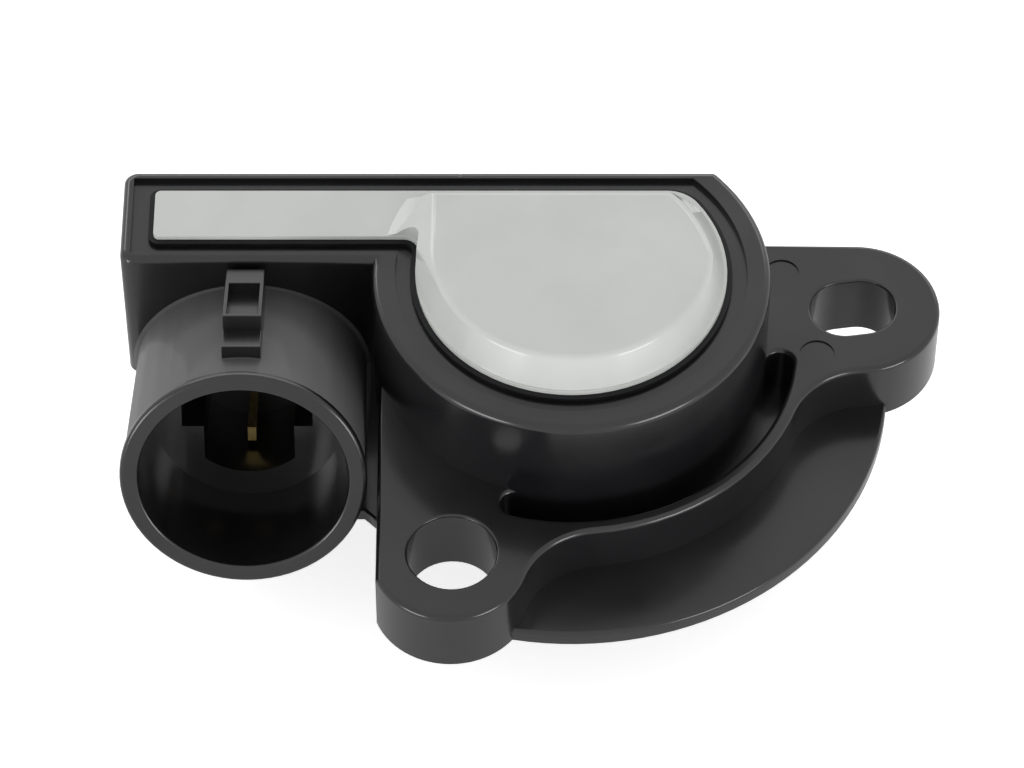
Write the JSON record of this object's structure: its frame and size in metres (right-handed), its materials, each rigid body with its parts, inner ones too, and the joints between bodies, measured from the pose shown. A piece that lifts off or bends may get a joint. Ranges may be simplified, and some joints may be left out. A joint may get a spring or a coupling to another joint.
{
  "type": "throttle position sensor",
  "caption": "Rotary throttle position sensor with a round tower, mounting ears, a light grey cover and a tilted round connector socket.",
  "frame": {"origin": "on the rotor's axis in the plane of the mounting face, at the mouth of the pilot recess", "axes": "+Z along the rotor's axis, up through the cover; +X towards the slotted ear; +Y towards the straight far side of the tower and arm"},
  "size_m": [0.0769, 0.0448, 0.0331],
  "materials": {
    "housing_plastic": "satin black glass-filled moulding",
    "cover_plastic": "light grey, satin",
    "sealant": "black cured bead",
    "terminal_plating": "gold-coloured plating",
    "board_ceramic": "matt off-white",
    "silver_film": "printed silver film",
    "carbon_film": "printed carbon film, dark and smooth",
    "solder": "bright tin",
    "rotor_plastic": "natural off-white",
    "spring_metal": "cold-rolled sheet",
    "brush_metal": "pale precious-metal alloy",
    "dark_steel": "phosphated spring steel",
    "washer_brass": "rolled",
    "spring_wire": "drawn spring wire",
    "seal_rubber": "black, matt"
  },
  "bodies": {
    "sensor_body": {"housing": "housing_plastic", "cover": "cover_plastic", "cover_sealant": "sealant", "terminal_supply": "terminal_plating", "terminal_signal": "terminal_plating", "terminal_ground": "terminal_plating", "element_board": "board_ceramic", "conductor_traces": "silver_film", "resistor_track": "carbon_film", "collector_track": "carbon_film", "solder_joints": "solder", "thrust_washer": "washer_brass", "return_spring": "spring_wire", "shaft_seal": "seal_rubber"},
    "rotor_body": {"rotor": "rotor_plastic", "wiper_plate": "spring_metal", "resistor_brush": "brush_metal", "collector_brush": "brush_metal", "drive_clip": "spring_metal", "retaining_ring": "dark_steel"}
  },
  "joints": [
    {"name": "rotor_turn", "type": "hinge", "parent": "sensor_body", "child": "rotor_body", "pos_m": [0, 0, 0.007], "axis": [0, 0, 1], "range_deg": [0, 100], "stiffness_Nm_per_rad": 0.02, "springref_deg": -20.05, "deforming": ["return_spring"]}
  ]
}
